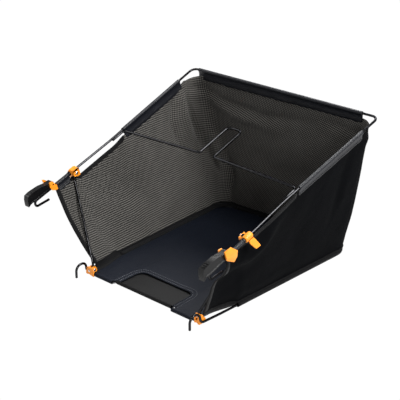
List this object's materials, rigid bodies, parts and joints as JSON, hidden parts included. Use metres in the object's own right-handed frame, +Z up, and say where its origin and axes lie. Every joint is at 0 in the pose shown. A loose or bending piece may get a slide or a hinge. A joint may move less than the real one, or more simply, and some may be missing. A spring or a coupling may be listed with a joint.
{
  "type": "folding grass catcher",
  "caption": "Folding grass catcher for a push reel mower: a flared fabric bag on a tilted black wire frame, with mower hooks, hinged latch levers, folding struts and a handle loop.",
  "frame": {"origin": "on the ground, at the middle of the catcher's length and width", "axes": "+Y to the rear of the bag, +X from its left to its right, +Z up"},
  "size_m": [0.6042, 0.6595, 0.3934],
  "materials": {
    "black_wire": "gloss black powder coat on 6 mm steel wire",
    "orange_plastic": "satin orange moulded nylon",
    "black_plastic": "semi-gloss black moulded nylon",
    "steel_rivet": "bright rivet head",
    "coated_fabric": "coated black-navy polyester, slight sheen",
    "mesh_fabric": "fine dark grey-brown woven mesh",
    "binding_tape": "black woven tape",
    "stiff_sheet": "stiff dark grey plastic sheet"
  },
  "bodies": {
    "lower_frame": {"floor_frame_wire": "black_wire", "front_cross_wire": "black_wire", "floor_sheet": "coated_fabric", "floor_stiffener": "stiff_sheet", "floor_sleeve_rear": "coated_fabric", "back_panel": "mesh_fabric", "front_hem_left": "coated_fabric", "front_hem_right": "coated_fabric", "floor_sleeve_left": "coated_fabric", "floor_sleeve_right": "coated_fabric", "lower_connector_left": "orange_plastic", "lower_connector_right": "orange_plastic", "lower_rivet_left": "steel_rivet", "lower_rivet_right": "steel_rivet", "side_panel_left": "mesh_fabric", "side_panel_right": "mesh_fabric", "front_binding_left": "binding_tape", "front_binding_right": "binding_tape", "top_binding_left": "binding_tape", "top_binding_right": "binding_tape"},
    "left_strut": {"strut_left": "black_wire"},
    "right_strut": {"strut_right": "black_wire"},
    "left_connector": {"upper_connector_left": "orange_plastic", "upper_rivet_left": "steel_rivet"},
    "right_connector": {"upper_connector_right": "orange_plastic", "upper_rivet_right": "steel_rivet"},
    "top_frame": {"top_frame_wire": "black_wire", "handle_wire": "black_wire", "rear_sleeve": "coated_fabric", "stop_ring_left": "black_wire", "stop_ring_right": "black_wire", "front_clip_left": "orange_plastic", "front_clip_right": "orange_plastic", "latch_pin_left": "black_plastic", "latch_pin_right": "black_plastic", "front_sleeve_left": "coated_fabric", "front_sleeve_right": "coated_fabric", "side_sleeve_left": "coated_fabric", "side_sleeve_right": "coated_fabric"},
    "left_latch": {"latch_lever_left": "black_plastic"},
    "right_latch": {"latch_lever_right": "black_plastic"}
  },
  "joints": [
    {"name": "left_strut_fold", "type": "hinge", "parent": "lower_frame", "child": "left_strut", "pos_m": [-0.177, -0.2204, 0.012], "axis": [1, 0, 0], "range_deg": [-67, 0], "deforming": ["back_panel", "side_panel_left", "side_panel_right", "front_binding_left", "front_binding_right", "top_binding_left", "top_binding_right"]},
    {"name": "right_strut_fold", "type": "hinge", "parent": "lower_frame", "child": "right_strut", "pos_m": [0.177, -0.2204, 0.012], "axis": [1, 0, 0], "range_deg": [-67, 0]},
    {"name": "left_connector_turn", "type": "hinge", "parent": "left_strut", "child": "left_connector", "pos_m": [-0.2715, -0.18029, 0.2326], "axis": [1, 0, 0], "range_deg": [0, 49.9]},
    {"name": "right_connector_turn", "type": "hinge", "parent": "right_strut", "child": "right_connector", "pos_m": [0.2715, -0.18029, 0.2326], "axis": [1, 0, 0], "range_deg": [0, 49.9]},
    {"name": "rail_slide", "type": "slide", "parent": "left_connector", "child": "top_frame", "axis": [0, 0.9474, 0.32], "range_m": [-0.115, 0]},
    {"name": "left_latch_lift", "type": "hinge", "parent": "top_frame", "child": "left_latch", "pos_m": [-0.281, -0.25299, 0.22282], "axis": [-1, 0, 0], "range_deg": [0, 45]},
    {"name": "right_latch_lift", "type": "hinge", "parent": "top_frame", "child": "right_latch", "pos_m": [0.281, -0.25299, 0.22282], "axis": [-1, 0, 0], "range_deg": [0, 45]}
  ],
  "couplings": [
    {"joint": "right_strut_fold", "follows": "left_strut_fold", "ratio": 1},
    {"joint": "left_connector_turn", "follows": "left_strut_fold", "ratio": -0.7439},
    {"joint": "right_connector_turn", "follows": "left_strut_fold", "ratio": -0.7439},
    {"joint": "rail_slide", "follows": "left_strut_fold", "m_per_rad": 0.09834}
  ]
}
